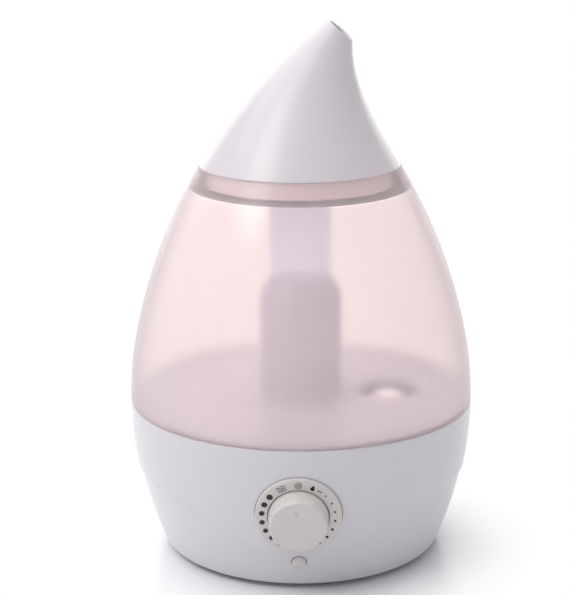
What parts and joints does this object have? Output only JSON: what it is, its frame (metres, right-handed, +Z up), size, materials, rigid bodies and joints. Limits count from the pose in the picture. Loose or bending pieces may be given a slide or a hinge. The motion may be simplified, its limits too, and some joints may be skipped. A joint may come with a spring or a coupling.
{
  "type": "cool mist humidifier",
  "caption": "Water-drop tabletop humidifier: white base with a dial, translucent lift-off water tank with a central mist chimney, and a leaning nozzle that turns.",
  "frame": {"origin": "on the vertical axis of the drop, level with the soles of the rubber feet", "axes": "+Z up; -Y is the front, with the dial; the nozzle's tip leans towards +X at rest"},
  "size_m": [0.21, 0.2208, 0.3242],
  "materials": {
    "casing_plastic": "moulded, semi-gloss white",
    "deck_plastic": "moulded white",
    "plate_plastic": "fine-textured moulded plastic",
    "nozzle_plastic": "satin pearl grey-white",
    "tank_plastic": "translucent rose-white, smooth",
    "dial_plastic": "semi-gloss warm white",
    "clear_lens": "clear, smooth",
    "soft_rubber": "matte",
    "zinc_steel": "zinc plated",
    "cast_aluminium": "as extruded",
    "filter_foam": "open-cell foam",
    "transducer_ceramic": "nickel-faced ceramic",
    "reed_glass": "clear",
    "fan_plastic": "black moulded",
    "duct_plastic": "natural moulded",
    "circuit_board": "solder mask",
    "switch_plastic": "black moulded",
    "float_plastic": "moulded white",
    "magnet_ferrite": "ferrite"
  },
  "bodies": {
    "base": {"base_casing": "casing_plastic", "bottom_plate": "plate_plastic", "rubber_feet": "soft_rubber", "bottom_screws": "zinc_steel", "intake_filter": "filter_foam", "basin": "deck_plastic", "pool_left": "deck_plastic", "pool_right": "deck_plastic", "float_clip": "deck_plastic", "reed_switch": "reed_glass", "transducer_seal": "soft_rubber", "transducer_disc": "transducer_ceramic", "transducer_ring": "cast_aluminium", "transducer_screws": "zinc_steel", "fan_housing": "fan_plastic", "air_duct": "duct_plastic", "fan_screws": "zinc_steel", "driver_board": "circuit_board", "heat_sink": "cast_aluminium", "power_board": "circuit_board", "board_screws": "zinc_steel", "dial_plate": "dial_plastic", "indicator_lens": "clear_lens", "potentiometer": "zinc_steel", "potentiometer_nut": "zinc_steel", "control_board": "circuit_board", "control_screws": "zinc_steel", "indicator_led": "clear_lens", "light_switch": "switch_plastic", "switch_board": "circuit_board", "lamp_lens": "clear_lens", "lamp_board": "circuit_board", "power_inlet": "switch_plastic", "inlet_nut": "zinc_steel"},
    "tank": {"tank_shell": "tank_plastic", "tank_floor": "tank_plastic", "mist_tube": "tank_plastic"},
    "tank_cap": {"tank_cap": "deck_plastic", "cap_gasket": "soft_rubber", "valve_spring": "zinc_steel"},
    "valve": {"valve_plunger": "deck_plastic", "valve_seal": "soft_rubber"},
    "nozzle_seat": {"nozzle_seat": "nozzle_plastic"},
    "nozzle": {"nozzle": "nozzle_plastic"},
    "knob": {"knob": "dial_plastic", "knob_shaft": "zinc_steel"},
    "light_button": {"light_button": "dial_plastic"},
    "fan_rotor": {"fan_rotor": "fan_plastic"},
    "float": {"float_ring": "float_plastic", "float_magnet": "magnet_ferrite"}
  },
  "joints": [
    {"name": "tank_lift", "type": "slide", "parent": "base", "child": "tank", "axis": [0, 0, 1], "range_m": [0, 0.12]},
    {"name": "tank_cap_turn", "type": "hinge", "parent": "tank", "child": "tank_cap", "pos_m": [0.054, 0, 0.08], "axis": [0, 0, -1], "range_deg": [0, 450]},
    {"name": "valve_slide", "type": "slide", "parent": "tank_cap", "child": "valve", "axis": [0, 0, 1], "range_m": [-0.005, 0], "deforming": ["valve_spring"]},
    {"name": "nozzle_lift", "type": "slide", "parent": "tank", "child": "nozzle_seat", "axis": [0, 0, 1], "range_m": [0, 0.04]},
    {"name": "nozzle_turn", "type": "hinge", "parent": "nozzle_seat", "child": "nozzle", "pos_m": [0, 0, 0.2379], "axis": [0, 0, 1], "continuous": true},
    {"name": "knob_turn", "type": "hinge", "parent": "base", "child": "knob", "pos_m": [0, -0.1018, 0.0522], "axis": [0, 0.9816, 0.1908], "range_deg": [0, 310]},
    {"name": "button_press", "type": "slide", "parent": "base", "child": "light_button", "axis": [0, 0.9466, 0.3223], "range_m": [0, 0.0015], "stiffness_N_per_m": 400, "springref_m": -0.0005},
    {"name": "fan_spin", "type": "hinge", "parent": "base", "child": "fan_rotor", "pos_m": [0, 0.052, 0.016], "axis": [0, 0, 1], "continuous": true},
    {"name": "float_rise", "type": "slide", "parent": "base", "child": "float", "axis": [0, 0, 1], "range_m": [0, 0.0095]}
  ],
  "couplings": [
    {"joint": "valve_slide", "follows": "tank_lift", "ratio": -0.041666}
  ]
}
